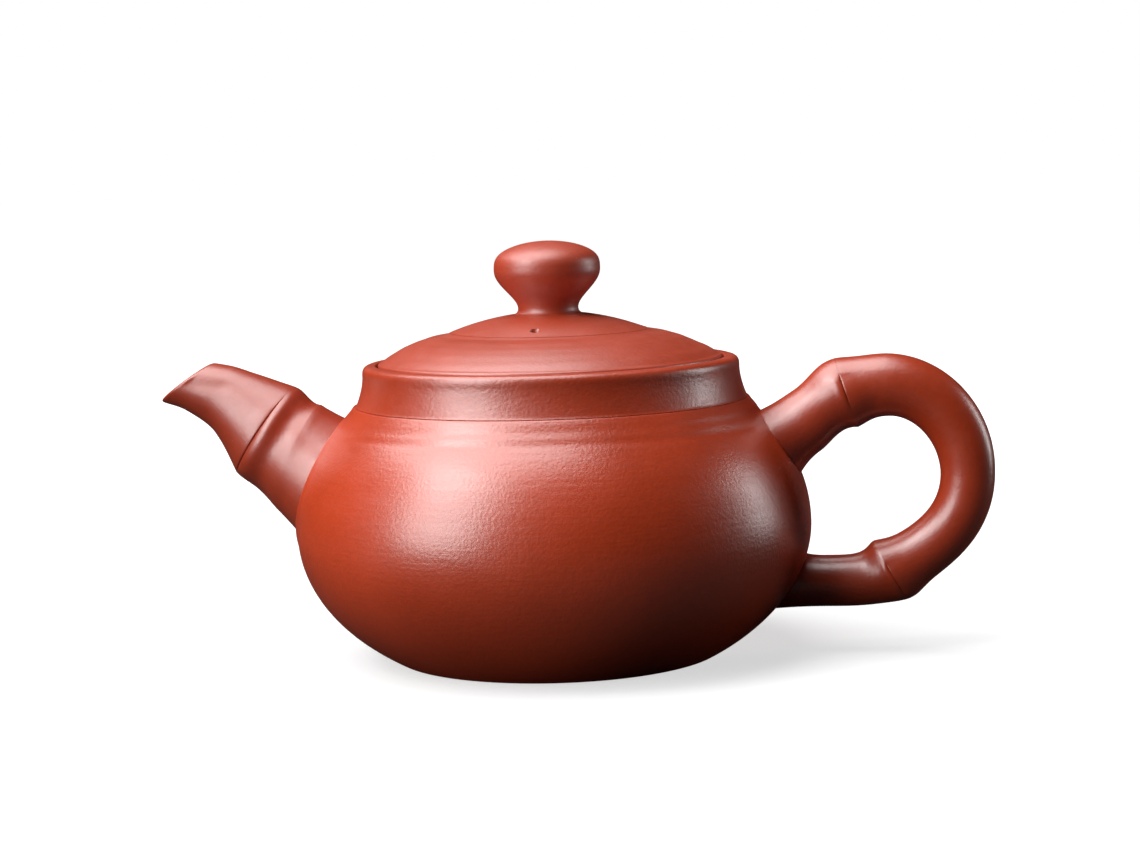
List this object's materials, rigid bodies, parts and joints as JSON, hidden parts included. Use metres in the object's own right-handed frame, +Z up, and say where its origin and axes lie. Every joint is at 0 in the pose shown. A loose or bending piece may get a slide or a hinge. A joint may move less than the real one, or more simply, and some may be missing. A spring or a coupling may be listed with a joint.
{
  "type": "teapot",
  "caption": "Round unglazed clay teapot with a bamboo-jointed spout and loop handle, and an inset domed lid that lifts off.",
  "frame": {"origin": "middle of the flat base, on the axis of the round body", "axes": "+Z up along the body's axis, +X towards the handle, -X towards the spout"},
  "size_m": [0.156, 0.0954, 0.077],
  "materials": {
    "clay_body": "burnished unglazed red stoneware, satin",
    "clay_trim": "burnished unglazed red stoneware, satin",
    "clay_lid": "burnished unglazed red stoneware, satin",
    "clay_inside": "unburnished red stoneware, matte"
  },
  "bodies": {
    "pot": {"base_disc": "clay_body", "belly_wall": "clay_body", "neck_collar": "clay_body", "mouth_ring": "clay_inside", "strainer_dome": "clay_inside", "spout_base": "clay_trim", "spout_tip": "clay_trim", "handle_upper": "clay_trim", "handle_bow": "clay_trim", "handle_lower": "clay_trim"},
    "lid": {"lid_plate": "clay_lid", "lid_crown": "clay_lid", "lid_flange": "clay_inside", "knob": "clay_lid"}
  },
  "joints": [
    {"name": "lid_lift", "type": "slide", "parent": "pot", "child": "lid", "axis": [0, 0, 1], "range_m": [0, 0.045]}
  ]
}
